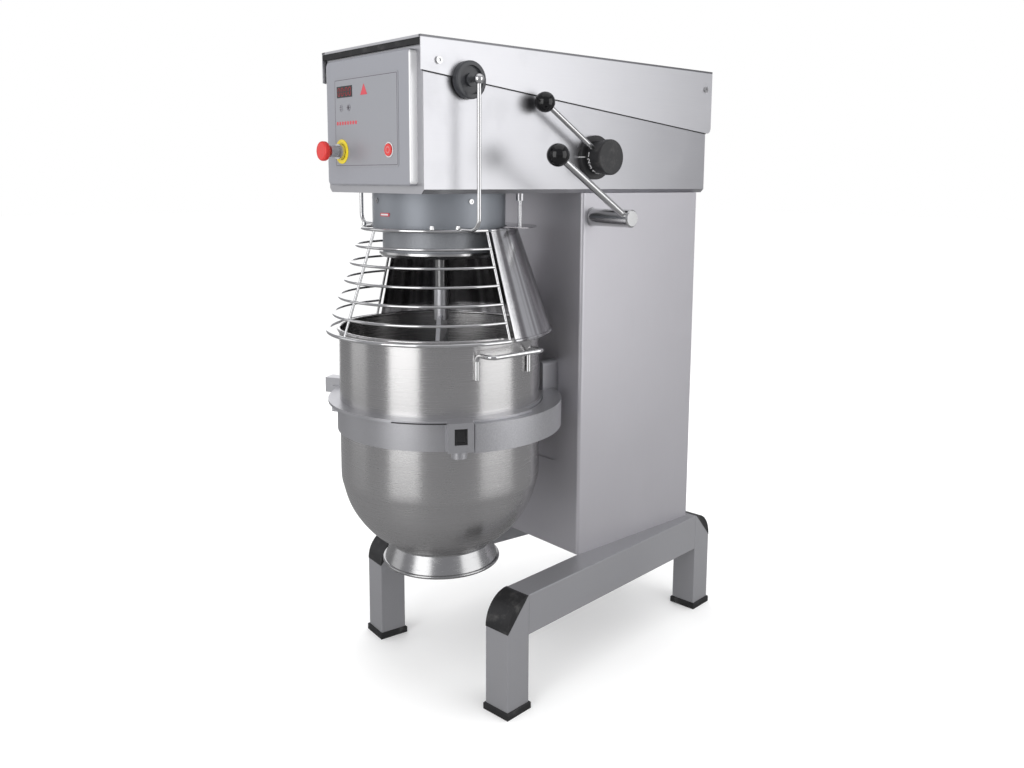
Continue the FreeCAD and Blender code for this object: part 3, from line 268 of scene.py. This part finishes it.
def brushed_steel(name, dark, light, rough, lines, anisotropy=0.0, brush=0.10, fold=None, marks=0.05,
                  metallic=1.0):
    """Satin sheet. lines is how tightly the strokes lie along x, y and z: a small number is along them.
    fold is the height above which a bent edge is painted darker, a painted shade for the bend turned from
    the light."""
    finish, place = start_finish(name, light, rough, metallic, Anisotropic=anisotropy,
                                 Anisotropic_Rotation=0.25)
    strokes = place.stretched(*lines).noise(1.0, 4.0, 0.62)
    cloud = place.noise(3.0, 4.0, 0.55)
    smear = place.noise(11.0, 6.0, 0.7).band(0.48, 0.72)
    colour = (strokes * 0.55 + cloud * 0.45).mix(dark, light)
    if fold:
        # Painted shade along the bent top edge.
        edge = place.part("Z").band(fold - FOLD_DEPTH, fold) * place.off_middle().band(FOLD_START, FOLD_END)
        colour = edge.mix(colour, PAINTED_FOLD_SHADE)
    feed(finish, Base_Color=colour, Roughness=rough - 0.06 + strokes * 0.10 + smear * marks,
         Normal=strokes.relief(brush, 0.0004))
    return finish


UPRIGHT_STROKES = (900.0, 900.0, 9.0)
column_steel = brushed_steel("column_satin", (0.52, 0.51, 0.54), (0.60, 0.59, 0.62), 0.42, UPRIGHT_STROKES,
                             metallic=0.78)
dress(column_steel, "column_shell", "column_rear_cover", "base_plate", "slot_shutter")


# Column top trim. Folded steel strips that close the step between the column and the head's bottom hem.
# Each is a flat bar with a lip turned down inside, spot welded to the column's top edge.
def spot(x, y, z):
    """A point given in millimetres from the bowl's axis and the floor."""
    return at(x / 1000.0, y / 1000.0, z / 1000.0)


def settle():
    """Puts the selected piece's place, turn and size into its mesh."""
    bpy.ops.object.transform_apply(location=True, rotation=True, scale=True)


def block(name, low, high):
    """A box between two corners, in millimetres, left in edit mode."""
    low, high = spot(*low), spot(*high)
    clear_selection()
    bpy.ops.mesh.primitive_cube_add(size=1.0, location=(low + high) / 2)
    made = bpy.context.object
    made.name = name
    made.scale = high - low
    settle()
    bpy.ops.object.mode_set(mode="EDIT")
    return made


def pick_faces(piece, x, y, z):
    """Selects the faces that look along a direction."""
    bpy.context.tool_settings.mesh_select_mode = (False, False, True)
    bpy.ops.mesh.select_all(action="DESELECT")
    bpy.ops.object.mode_set(mode="OBJECT")
    for face in piece.data.polygons:
        face.select = face.normal.dot(Vector((x, y, z))) > 0.9
    bpy.ops.object.mode_set(mode="EDIT")


def inset(thickness, depth=0.0):
    bpy.ops.mesh.inset(thickness=thickness / 1000.0, depth=depth / 1000.0)


def draw_out(x, y, z):
    """Extrudes the picked faces, in millimetres."""
    bpy.ops.mesh.extrude_region_move(TRANSFORM_OT_translate={"value": (x / 1000.0, y / 1000.0, z / 1000.0)})


def finish_piece(piece, finish, body, round_off=0.0):
    """Rounds the edges, applies everything, and hands the piece over to the machine."""
    crease = math.radians(35.0)
    if bpy.context.mode != "OBJECT":
        bpy.ops.object.mode_set(mode="OBJECT")
    clear_selection()
    piece.select_set(True)
    bpy.context.view_layer.objects.active = piece
    settle()
    if round_off:
        bevel = piece.modifiers.new("rounding", "BEVEL")
        bevel.width = round_off / 1000.0
        bevel.segments = 2
        bevel.limit_method = "ANGLE"
        bevel.angle_limit = crease
        bpy.ops.object.modifier_apply(modifier="rounding")
    bpy.ops.object.shade_smooth_by_angle(angle=crease)
    piece.data.materials.clear()
    piece.data.materials.append(finish)
    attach(piece, body)


TRIM_OUTER, TRIM_INNER = 180.9, 170.0
TRIM_FRONT, TRIM_BACK = 275.2, 688.5
TRIM_BOTTOM, TRIM_TOP = 1131.6, 1133.7
for name, side in (("column_trim_right", 1.0), ("column_trim_left", -1.0)):
    left, right = sorted((side * TRIM_OUTER, side * TRIM_INNER))
    trim = block(name, (left, TRIM_FRONT, TRIM_BOTTOM), (right, TRIM_BACK, TRIM_TOP))
    pick_faces(trim, -side, 0.0, 0.0)
    draw_out(-side * 2.0, 0.0, 0.0)
    draw_out(0.0, 0.0, -4.0)
    finish_piece(trim, column_steel, "frame", 0.4)


# Lift mechanism inside the column: ground guide rods, cast clamps and a carriage on bronze bushes, a cut
# rack and a toothed sector. Only their edges show through the slot and the louvres. The fork is cast too.
def turned_steel(name, light, rough):
    finish, place = start_finish(name, (light,) * 3, rough, 1.0)
    rings = place.stretched(60.0, 60.0, 60.0).noise(12.0, 5.0, 0.7)
    scratch = place.noise(420.0, 3.0, 0.6)
    feed(finish, Base_Color=rings.mix((light * 0.86,) * 3, (light,) * 3),
         Roughness=rough - 0.04 + rings * 0.08 + scratch.band(0.55, 0.8) * 0.08,
         Normal=scratch.relief(0.05, 0.0001))
    return finish


def rough_casting(name, dark, light, rough, metallic, pits, depth):
    """Shot blasted metal. pits is how fine its pits are, depth how deep."""
    finish, place = start_finish(name, light, rough, metallic)
    speckle = place.noise(pits, 4.0, 0.7)
    cloud = place.noise(14.0, 4.0, 0.6)
    feed(finish, Base_Color=(speckle.band(0.40, 0.62) * 0.7 + cloud * 0.3).mix(dark, light),
         Roughness=rough - 0.05 + speckle * 0.16, Normal=speckle.relief(0.45, depth))
    return finish


bright_steel = turned_steel("turned_steel", 0.72, 0.22)
dress(bright_steel, "guide_rods", "lift_rack", "lift_sector", "lift_shaft", "frame_bolts")
fork_casting = rough_casting("fork_casting", (0.42, 0.42, 0.44), (0.54, 0.54, 0.56), 0.36, 0.85,
                             420.0, 0.0003)
dress(fork_casting, "carriage", "rod_clamps", "lift_shaft_bearings", "bowl_fork")
bronze, place = start_finish("bush_bronze", (0.55, 0.36, 0.16), 0.35, 1.0)
feed(bronze, Roughness=0.30 + place.noise(600.0, 2.0) * 0.15,
     Normal=place.noise(900.0, 2.0).relief(0.2, 0.0002))
dress(bronze, "carriage_bushes")


# Lift lever. A turned rod screwed into the end of the lift shaft, with a moulded ball on it. A steel cap
# ring and a socket screw hold the rod's hub on the shaft.
def moulded(name, colour, roughness, coat=0.3):
    """Smooth coloured plastic."""
    finish, place = start_finish(name, colour, roughness, 0.0, Coat_Weight=coat)
    grain = place.noise(500.0, 3.0)
    dark = tuple(part * 0.82 for part in colour)
    feed(finish, Base_Color=place.noise(40.0, 4.0).mix(dark, colour), Roughness=roughness + grain * 0.1,
         Normal=grain.relief(0.1, 0.0001))
    return finish


def facing(middle, x, y, z):
    """Where an object goes whose own axes run along three vectors."""
    turn = Matrix([[vector[row] for vector in (x, y, z)] for row in range(3)]).to_4x4()
    return Matrix.Translation(middle) @ turn


def ring(name, centre, axis, inner, outer, thick, sweep=360.0):
    """A flat washer: a square section spun round its axis. axis is 'X', 'Y' or 'Z'; sizes are in mm.
    A sweep of less than a whole turn starts at +X and keeps its end faces."""
    centre = spot(*centre)
    along = Vector([float(letter == axis) for letter in "XYZ"])
    across = Vector((0.0, 0.0, 1.0)) if axis != "Z" else Vector((1.0, 0.0, 0.0))
    clear_selection()
    bpy.ops.mesh.primitive_plane_add(size=1.0)
    made = bpy.context.object
    made.name = name
    middle = centre + across * (inner + outer) / 2000.0
    made.matrix_world = facing(middle, across * (outer - inner) / 1000.0, along * thick / 1000.0,
                               across.cross(along))
    settle()
    bpy.ops.object.mode_set(mode="EDIT")
    bpy.ops.mesh.select_all(action="SELECT")
    if sweep == 360.0:
        bpy.ops.mesh.delete(type="ONLY_FACE")
        bpy.ops.mesh.select_all(action="SELECT")
    bpy.ops.mesh.spin(steps=64, angle=math.radians(sweep), center=centre, axis=along)
    bpy.ops.mesh.select_all(action="SELECT")
    bpy.ops.mesh.remove_doubles(threshold=0.00001)
    bpy.ops.mesh.normals_make_consistent(inside=False)
    bpy.ops.object.mode_set(mode="OBJECT")
    return made


def stub(name, corners, radius, thick, middle, turned=(0.0, 0.0, 0.0)):
    """A short bar, round or with corners, in millimetres and degrees, left in edit mode."""
    clear_selection()
    bpy.ops.mesh.primitive_cylinder_add(vertices=corners, radius=radius / 1000.0, depth=thick / 1000.0,
                                        location=spot(*middle),
                                        rotation=[math.radians(degrees) for degrees in turned])
    made = bpy.context.object
    made.name = name
    settle()
    bpy.ops.object.mode_set(mode="EDIT")
    return made


gloss_black = moulded("gloss_black", (0.003, 0.003, 0.0035), 0.04, 0.0)
dress(gloss_black, "lift_lever_ball")
dress(bright_steel, "lift_lever_rod")
worked_steel = turned_steel("worked_shaft", 0.26, 0.30)
LIFT_Y, LIFT_Z, LIFT_END = 305.0, 1079.0, 306.0
end_ring = ring("lift_end_ring", (LIFT_END - 0.6, LIFT_Y, LIFT_Z), "X", 6.2, 14.0, 1.0)
finish_piece(end_ring, worked_steel, "lift_lever", 0.3)
screw = stub("lift_end_screw", 24, 5.8, 0.8, (LIFT_END - 0.5, LIFT_Y, LIFT_Z), (0.0, 90.0, 0.0))
pick_faces(screw, 1.0, 0.0, 0.0)
inset(2.4)
inset(0.3, -0.6)
finish_piece(screw, cap_black, "lift_lever")


# Bowl. Spun from one sheet of stainless steel with a rolled rim. It is linished round and round, so that
# the light stands on it in upright bands.
ROUND_STROKES = (5.0, 5.0, 1300.0)
bowl_steel = brushed_steel("bowl_linished", (0.52, 0.51, 0.51), (0.74, 0.735, 0.73), 0.27, ROUND_STROKES,
                           anisotropy=0.8, brush=0.12, marks=0.02)
dress(bowl_steel, "bowl")


# Foot ring and handles. The ring is a spun cone with a rolled lip, the handles are bent rod. Both are
# welded to the bowl and mirror polished, with faint wiping marks.
def polished_steel(name, light, rough, reflection_streaks=None):
    """Mirror steel. streaks gives the two tones of upright streaks painted round the axis, a painted
    reflection of dark and bright surroundings.
    """
    finish, place = start_finish(name, (light,) * 3, rough, 1.0)
    wipe = place.stretched(1.0, 1.0, 4.0).noise(40.0, 5.0, 0.7)
    colour = wipe.mix((light * 0.9,) * 3, (light,) * 3)
    if reflection_streaks:
        spread = place.node("VectorMath", {"operation": "SUBTRACT"}, {0: place, 1: tuple(AXIS)})
        around = place.maths("ARCTAN2", spread.part("X"), spread.part("Y"))
        reflection_streak = around.node("TexNoise", {"noise_dimensions": "1D"},
                             {"W": around, "Scale": 5.0, "Detail": 2.0, "Roughness": 0.5})
        # Painted reflection: upright dark and bright bands round the axis.
        colour = reflection_streak.band(0.40, 0.60).mix(*reflection_streaks)
    feed(finish, Base_Color=colour, Roughness=rough + wipe.band(0.45, 0.75) * 0.10,
         Normal=place.noise(700.0, 2.0).relief(0.03, 0.0001))
    return finish


polish = polished_steel("polished_wire", 0.80, 0.10)
ring_polish = polished_steel("polished_ring", 0.50, 0.22)
dress(polish, "bowl_handles")
dress(ring_polish, "bowl_foot_ring")


# Band round the bowl. Cast aluminium, shot blasted and machined on top, shrunk on to the bowl. Black
# moulded caps, dished on the outside, are pressed into its two square lugs.
def turn_about(piece, point, degrees, axis):
    turn = Matrix.Rotation(math.radians(degrees), 4, axis)
    piece.matrix_world = Matrix.Translation(point) @ turn @ Matrix.Translation(-point) @ piece.matrix_world


band_casting = rough_casting("band_casting", (0.46, 0.46, 0.48), (0.56, 0.56, 0.58), 0.33, 0.9,
                             800.0, 0.0002)
dress(band_casting, "bowl_band")
PLUG_INNER, PLUG_OUTER, PLUG_HALF = 243.0, 271.0, 13.3
PLUG_BOTTOM, PLUG_TOP = 627.7, 661.3
for name, degrees in (("lug_plug_right", -28.0), ("lug_plug_left", 208.0)):
    plug = block(name, (PLUG_INNER, -PLUG_HALF, PLUG_BOTTOM), (PLUG_OUTER, PLUG_HALF, PLUG_TOP))
    pick_faces(plug, 1.0, 0.0, 0.0)
    inset(3.0)
    inset(1.5, -4.0)
    bpy.ops.object.mode_set(mode="OBJECT")
    turn_about(plug, AXIS, degrees, "Z")
    finish_piece(plug, cap_black, "carriage", 0.7)


# Painted shadow. A dark strip of the rubber finish, set in on each side at the step between the band's
# flange and the fork, stands in for the shade in that gap.
SHADOW_STRIP_Z, SHADOW_STRIP_SWEEP = 668.4, 36.0
for name, start in (("band_shadow_strip_right", -24.0), ("band_shadow_strip_left", 168.0)):
    shadow_strip = ring(name, (0.0, 0.0, SHADOW_STRIP_Z), "Z", 255.1, 257.4, 2.0, SHADOW_STRIP_SWEEP)
    turn_about(shadow_strip, AXIS, start, "Z")
    finish_piece(shadow_strip, rubber, "carriage", 0.4)


# Drive. A grey painted neck casting bolted under the head, the planet head's drum with its turned rim, and
# inside the head the motor, pulleys, belt, shafts, gears and bearings. The beater is cast like the band.
neck_paint = powder_coat("neck_paint", (0.21, 0.225, 0.25), (0.24, 0.255, 0.28))
drum_grey = rough_casting("drum_casting", (0.26, 0.27, 0.29), (0.34, 0.35, 0.37), 0.42, 0.6, 500.0, 0.0003)
dress(neck_paint, "neck_casting")
dress(drum_grey, "planet_head", "drive_pulley", "motor_pulley", "motor")
dress(bright_steel, "planet_rim", "main_shaft", "motor_shaft", "ring_gear", "main_bearings",
      "planet_bearings")
dress(worked_steel, "planet_shaft")
dress(band_casting, "flat_beater")
dress(rubber, "drive_belt")


# Neck window. A small level slot cut in the casting, its edge painted red, and closed by a pale moulded
# plug that is pushed in from outside.
red_paint = moulded("print_red", (0.56, 0.05, 0.07), 0.45)
pale = moulded("print_white", (0.62, 0.62, 0.63), 0.4)
NECK_FACE = -149.9
slot_rim = block("neck_slot_rim", (-11.0, NECK_FACE, 1084.4), (21.0, -145.0, 1091.6))
pick_faces(slot_rim, 0.0, -1.0, 0.0)
inset(1.8, -0.5)
finish_piece(slot_rim, red_paint, "frame", 0.8)
slot_plug = block("neck_slot_plug", (-8.0, NECK_FACE - 0.4, 1086.2), (18.0, -146.0, 1089.8))
pick_faces(slot_plug, 0.0, -1.0, 0.0)
inset(0.6)
finish_piece(slot_plug, pale, "frame", 0.4)


# Head. A folded steel housing and a lift-off cover with side flanges, both brushed along their length. The
# cover is screwed on, and its bent top edge has painted shade. Dark rubber strips are painted shadow: one
# under the cover's front edge, and a thin line under each flange's slant.
LENGTH_STROKES = (900.0, 9.0, 900.0)
COVER_FOLD = 1.4365
head_steel = brushed_steel("head_satin", (0.54, 0.54, 0.56), (0.64, 0.64, 0.66), 0.36, LENGTH_STROKES)
# fold gives the cover's bent top edge its painted shade.
cover_steel = brushed_steel("cover_satin", (0.66, 0.66, 0.68), (0.76, 0.76, 0.78), 0.42, LENGTH_STROKES,
                            fold=COVER_FOLD)
dress(head_steel, "head_housing", "motor_bracket")
dress(cover_steel, "head_cover")
# Painted shadow: cover_seal is given the dark rubber finish to stand in for the shade under the cover's
# front edge.
dress(rubber, "cover_seal")
dress(bright_steel, "cover_screws")

SEAM_TILT = math.atan2(91.0, 919.0)
SEAM_FRONT_Y, SEAM_FRONT_Z, SEAM_DROP = -180.0, 1374.0, 1.1
SEAM_INNER, SEAM_OUTER = 181.1, 183.2
# Painted shadow: thin dark strips under each flange's slant stand in for the shade below the flange.
for name, start, end in (("cover_seam_shadow_front", -176.0, -104.0), ("cover_seam_shadow_rear", -26.0, 722.0)):
    middle = (start + end) / 2
    height = SEAM_FRONT_Z - (middle - SEAM_FRONT_Y) * math.tan(SEAM_TILT) - SEAM_DROP
    seam_shadow = block(name, (SEAM_INNER, start, height - 1.0), (SEAM_OUTER, end, height + 1.0))
    pick_faces(seam_shadow, 1.0, 0.0, 0.0)
    inset(0.3)
    bpy.ops.object.mode_set(mode="OBJECT")
    turn_about(seam_shadow, spot((SEAM_INNER + SEAM_OUTER) / 2, middle, height), -math.degrees(SEAM_TILT), "X")
    finish_piece(seam_shadow, rubber, "frame")


# Control panel. A raised pan of painted sheet whose side walls carry a painted highlight, a printed film
# glued on to it, which also forms the two small keys, and a smoked window for the display.
PAN_RIM = 0.1565
# rim gives the pan's side walls their painted highlight.
pan_grey = powder_coat("pan_grey", (0.31, 0.315, 0.345), (0.35, 0.355, 0.385), rim=PAN_RIM)
film = powder_coat("membrane_film", (0.315, 0.32, 0.345), (0.345, 0.35, 0.375))
window = black_moulding("display_window", 0.006, 0.08, 60.0, 0.00001)
dress(pan_grey, "control_pan")
dress(film, "membrane_panel", "key_light", "key_timer")
dress(window, "display_window")


# Buttons. A red mushroom on a steel collar with a yellow disc behind it, and a flat red button in a pale
# bezel with a pink ring printed on it. All are moulded, and the disc and bezel are glued to the film.
FILM_Y = -189.8
STOP_X, START_X, BUTTON_Z = -96.0, 86.0, 1222.0
red = moulded("signal_red", (0.62, 0.025, 0.02), 0.35)
dress(red, "estop_button", "start_button")
dress(bright_steel, "estop_collar")
yellow = moulded("stop_yellow", (0.80, 0.62, 0.01), 0.35)
stop_disc = ring("stop_disc", (STOP_X, FILM_Y - 0.8, BUTTON_Z), "Y", 17.2, 26.0, 1.6)
finish_piece(stop_disc, yellow, "frame", 0.3)
start_bezel = ring("start_bezel", (START_X, FILM_Y - 0.7, BUTTON_Z), "Y", 13.0, 15.5, 1.4)
finish_piece(start_bezel, pale, "frame", 0.3)
pink = moulded("print_pink", (0.60, 0.16, 0.16), 0.4)
start_mark = ring("start_mark", (START_X, FILM_Y - 3.5, BUTTON_Z), "Y", 4.6, 7.4, 0.3)
finish_piece(start_mark, pink, "start_button")


# Display. Four seven-stroke figures, each drawn with its six outer strokes, and a colon between them. They
# are thin lit strips that glow a dim red on the smoked window.
def join(name, parts):
    clear_selection()
    for part in parts:
        part.select_set(True)
    bpy.context.view_layer.objects.active = parts[0]
    bpy.ops.object.join()
    parts[0].name = name
    return parts[0]


def bars(name, boxes):
    """Several thin strips joined into one print. Each is (x, y, z, half width, half height, turn): its
    middle and halves are in millimetres, and its turn about Y is in degrees."""
    made = []
    for x, y, z, wide, tall, degrees in boxes:
        strip = block(name, (x - wide, y - 0.15, z - tall), (x + wide, y, z + tall))
        pick_faces(strip, 0.0, -1.0, 0.0)
        inset(min(wide, tall) * 0.2)
        bpy.ops.object.mode_set(mode="OBJECT")
        turn_about(strip, spot(x, y, z), degrees, "Y")
        clear_selection()
        strip.select_set(True)
        settle()
        made.append(strip)
    return join(name, made)


glow, place = start_finish("display_glow", (0.10, 0.002, 0.004), 0.4, 0.0, Emission_Strength=1.0)
flicker = place.noise(300.0, 2.0)
feed(glow, Base_Color=flicker.mix((0.08, 0.002, 0.004), (0.14, 0.004, 0.006)),
     Emission_Color=flicker.mix((0.16, 0.003, 0.008), (0.24, 0.006, 0.012)))
GLASS_Y, FIGURE_Z = -190.2, 1348.0
FIGURE_HALF, FIGURE_RISE = 3.9, 4.0
strokes = []
for x in (-104.0, -90.5, -73.5, -60.0):
    for level in (-1, 1):
        strokes += [(x + side * FIGURE_HALF, GLASS_Y, FIGURE_Z + level * FIGURE_RISE, 0.8, 3.2, 0.0)
                    for side in (-1, 1)]
        strokes.append((x, GLASS_Y, FIGURE_Z + level * 2.0 * FIGURE_RISE, 3.0, 0.8, 0.0))
strokes += [(-82.0, GLASS_Y, FIGURE_Z + level * 3.4, 0.9, 0.9, 0.0) for level in (-1, 1)]
digits = bars("display_digits", strokes)
finish_piece(digits, glow, "frame")


# Film print. A thin dark outline, plain strokes on the two keys, a row of slanted red dashes and a plain
# red triangle, all screen printed on the film.
FILM_LEFT, FILM_RIGHT, FILM_BOTTOM, FILM_TOP = -121.0, 116.0, 1192.0, 1373.0
LINE_HALF = 0.7
film_x, film_z = (FILM_LEFT + FILM_RIGHT) / 2, (FILM_BOTTOM + FILM_TOP) / 2
ink = moulded("print_grey", (0.13, 0.12, 0.14), 0.5)
outline = bars("film_outline", [
    (film_x, FILM_Y, FILM_TOP, 118.0, LINE_HALF, 0.0), (film_x, FILM_Y, FILM_BOTTOM, 118.0, LINE_HALF, 0.0),
    (FILM_LEFT, FILM_Y, film_z, LINE_HALF, 90.0, 0.0), (FILM_RIGHT, FILM_Y, film_z, LINE_HALF, 90.0, 0.0)])
finish_piece(outline, ink, "frame")
KEY_Y, KEY_Z = FILM_Y - 0.9, 1314.0
signs = bars("key_sign_light", [(-97.0, KEY_Y, KEY_Z + step, 5.2 - abs(step) * 0.6, 1.1, 0.0)
                                for step in (-5.0, -1.8, 1.8, 5.0)])
finish_piece(signs, ink, "key_light")
signs = bars("key_sign_timer", [(-66.0, KEY_Y, KEY_Z, 1.1, 6.2, 45.0 * step) for step in range(4)])
finish_piece(signs, ink, "key_timer")
dashes = bars("film_dashes", [(-112.0 + 10.6 * step, FILM_Y, 1282.0, 3.4, 3.6, 14.0) for step in range(8)])
finish_piece(dashes, red_paint, "frame")
triangle = stub("film_triangle", 3, 15.5, 0.3, (-5.5, FILM_Y - 0.15, 1345.0), (90.0, 0.0, 0.0))
pick_faces(triangle, 0.0, -1.0, 0.0)
inset(1.2)
finish_piece(triangle, red_paint, "frame", 0.1)


# Bowl guard. Moulded bosses screwed to the head, arms and wires of polished rod welded together, and a
# fixed shield of polished sheet behind. Small domed nuts clamp the top ring to the arms, two on each side.
boss_grey = moulded("boss_grey", (0.035, 0.037, 0.042), 0.42)
# The shield's streaks are a painted reflection of dark and bright surroundings.
shield_polish = polished_steel("polished_sheet", 0.68, 0.17,
                               reflection_streaks=((0.30, 0.29, 0.30), (0.78, 0.78, 0.79)))
dress(boss_grey, "guard_pivot_bosses")
dress(polish, "guard_arms", "wire_guard")
dress(shield_polish, "rear_shield")
NUT_CIRCLE, NUT_Z = 174.0, 1062.0
for count, degrees in enumerate((-24.0, -42.0, 204.0, 222.0)):
    angle = math.radians(degrees)
    nut = stub("guard_nut_%d" % (count + 1), 6, 5.5, 5.0,
               (NUT_CIRCLE * math.cos(angle), NUT_CIRCLE * math.sin(angle), NUT_Z))
    pick_faces(nut, 0.0, 0.0, 1.0)
    inset(1.0)
    draw_out(0.0, 0.0, 3.0)
    inset(1.6, 1.0)
    finish_piece(nut, bright_steel, "guard", 0.4)


# Speed selector. A moulded drum knob turned by a steel rod with a ball on it. White figures are printed
# round the drum, and pass a white pointer on the fixed dial.
dial_black = black_moulding("dial_black", 0.016, 0.38, 300.0, 0.0002)
dress(dial_black, "speed_dial", "speed_knob")
dress(bright_steel, "speed_lever_rod")
dress(gloss_black, "speed_lever_ball")
DIAL_X, DIAL_Y, DIAL_Z = 201.5, 307.0, 1215.0
DRUM_R = 0.0371
FIRST_DEGREES, STEP_DEGREES = 8.0, -22.0
figures = []
for count in range(8):
    clear_selection()
    bpy.ops.object.text_add()
    figure = bpy.context.object
    figure.data.body = str(count + 1)
    figure.data.size = 0.015
    figure.data.align_x = "CENTER"
    figure.data.align_y = "CENTER"
    figure.data.extrude = 0.00015
    figure.data.offset = 0.0003
    bpy.ops.object.convert(target="MESH")
    angle = math.radians(FIRST_DEGREES + STEP_DEGREES * count)
    out = Vector((0.0, -math.cos(angle), math.sin(angle)))
    up = Vector((0.0, math.sin(angle), math.cos(angle)))
    figure.matrix_world = facing(spot(DIAL_X, DIAL_Y, DIAL_Z) + out * DRUM_R, up.cross(out), up, out)
    settle()
    figures.append(figure)
finish_piece(join("selector_figures", figures), pale, "speed_lever")
pointer = block("selector_pointer", (181.5, DIAL_Y - 50.5, DIAL_Z - 1.1),
                (192.5, DIAL_Y - 38.5, DIAL_Z + 1.1))
pick_faces(pointer, 1.0, 0.0, 0.0)
inset(0.4)
finish_piece(pointer, pale, "frame", 0.2)
